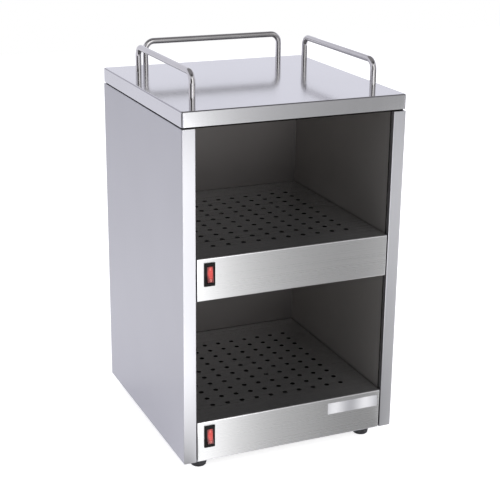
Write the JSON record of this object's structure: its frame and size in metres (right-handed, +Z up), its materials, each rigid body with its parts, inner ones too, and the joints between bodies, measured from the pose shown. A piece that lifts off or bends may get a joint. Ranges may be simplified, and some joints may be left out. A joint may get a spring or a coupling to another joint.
{
  "type": "cup warmer",
  "caption": "Countertop stainless steel cup warmer with open bays over perforated heated shelves, a railed flat top, lit rocker switches and rubber feet.",
  "frame": {"origin": "on the surface that the feet stand on, under the middle of the cabinet body", "axes": "+Z up, +X to the right as seen from the open front, +Y to the rear"},
  "size_m": [0.3, 0.329, 0.5163],
  "materials": {
    "brushed_stainless_outer": "satin brushed stainless sheet",
    "brushed_stainless_inner": "satin stainless sheet in the shade of the bays",
    "brushed_stainless_shelf": "satin brushed stainless sheet, perforated",
    "plain_stainless": "mill-finish stainless sheet",
    "polished_rod": "polished stainless round bar",
    "steel_fasteners": "stainless screws, nuts, washers and rivets",
    "heater_sheath": "stainless sheath, darkened by heat",
    "ceramic_bush": "white ceramic bush with a steel stud",
    "thermostat_can": "aluminium can with a moulded base",
    "switch_black": "black nylon",
    "rocker_red": "translucent red polycarbonate, lit from behind",
    "brass_tab": "brass tab",
    "silicone_wire": "glass-fibre sleeved silicone wire",
    "black_rubber": "black moulded rubber",
    "nylon_gland": "black nylon",
    "badge_foil": "bright satin aluminium foil plate, blank"
  },
  "bodies": {
    "cabinet": {"badge_plate": "badge_foil", "ceiling_screws": "steel_fasteners", "ceiling_tray": "brushed_stainless_inner", "earth_screw": "steel_fasteners", "foot_screws": "steel_fasteners", "front_left_foot": "black_rubber", "front_right_foot": "black_rubber", "gland_body": "nylon_gland", "gland_cap": "nylon_gland", "gland_locknut": "nylon_gland", "gland_seal": "black_rubber", "harness_clips": "plain_stainless", "left_inner_wall": "brushed_stainless_inner", "left_rail": "polished_rod", "left_side_panel": "brushed_stainless_outer", "lid": "brushed_stainless_outer", "lid_screws": "steel_fasteners", "liner_rivets": "steel_fasteners", "lip_screws": "steel_fasteners", "lower_front_heater_bracket": "plain_stainless", "lower_harness": "silicone_wire", "lower_heater": "heater_sheath", "lower_heater_leads": "silicone_wire", "lower_heater_terminals": "ceramic_bush", "lower_rear_heater_bracket": "plain_stainless", "lower_shelf_deck": "brushed_stainless_shelf", "lower_shelf_tray": "plain_stainless", "lower_switch_body": "switch_black", "lower_switch_tabs": "brass_tab", "lower_thermostat": "thermostat_can", "lower_wire_grommet": "black_rubber", "m4_nuts": "steel_fasteners", "m5_nuts": "steel_fasteners", "rail_washers": "steel_fasteners", "rear_inner_wall": "brushed_stainless_inner", "rear_left_foot": "black_rubber", "rear_panel": "brushed_stainless_outer", "rear_rail": "polished_rod", "rear_right_foot": "black_rubber", "rear_screws": "steel_fasteners", "right_inner_wall": "brushed_stainless_inner", "right_rail": "polished_rod", "right_side_panel": "brushed_stainless_outer", "shelf_screws": "steel_fasteners", "terminal_block": "nylon_gland", "upper_front_heater_bracket": "plain_stainless", "upper_harness": "silicone_wire", "upper_heater": "heater_sheath", "upper_heater_leads": "silicone_wire", "upper_heater_terminals": "ceramic_bush", "upper_rear_heater_bracket": "plain_stainless", "upper_shelf_deck": "brushed_stainless_shelf", "upper_shelf_tray": "plain_stainless", "upper_switch_body": "switch_black", "upper_switch_tabs": "brass_tab", "upper_thermostat": "thermostat_can", "upper_wire_grommet": "black_rubber", "wiring_cover": "plain_stainless"},
    "lower_rocker": {"lower_rocker": "rocker_red"},
    "upper_rocker": {"upper_rocker": "rocker_red"}
  },
  "joints": [
    {"name": "lower_rocker_hinge", "type": "hinge", "parent": "cabinet", "child": "lower_rocker", "pos_m": [-0.115, -0.151, 0.0521], "axis": [1, 0, 0], "range_deg": [0, 18]},
    {"name": "upper_rocker_hinge", "type": "hinge", "parent": "cabinet", "child": "upper_rocker", "pos_m": [-0.115, -0.151, 0.2711], "axis": [1, 0, 0], "range_deg": [0, 18]}
  ]
}
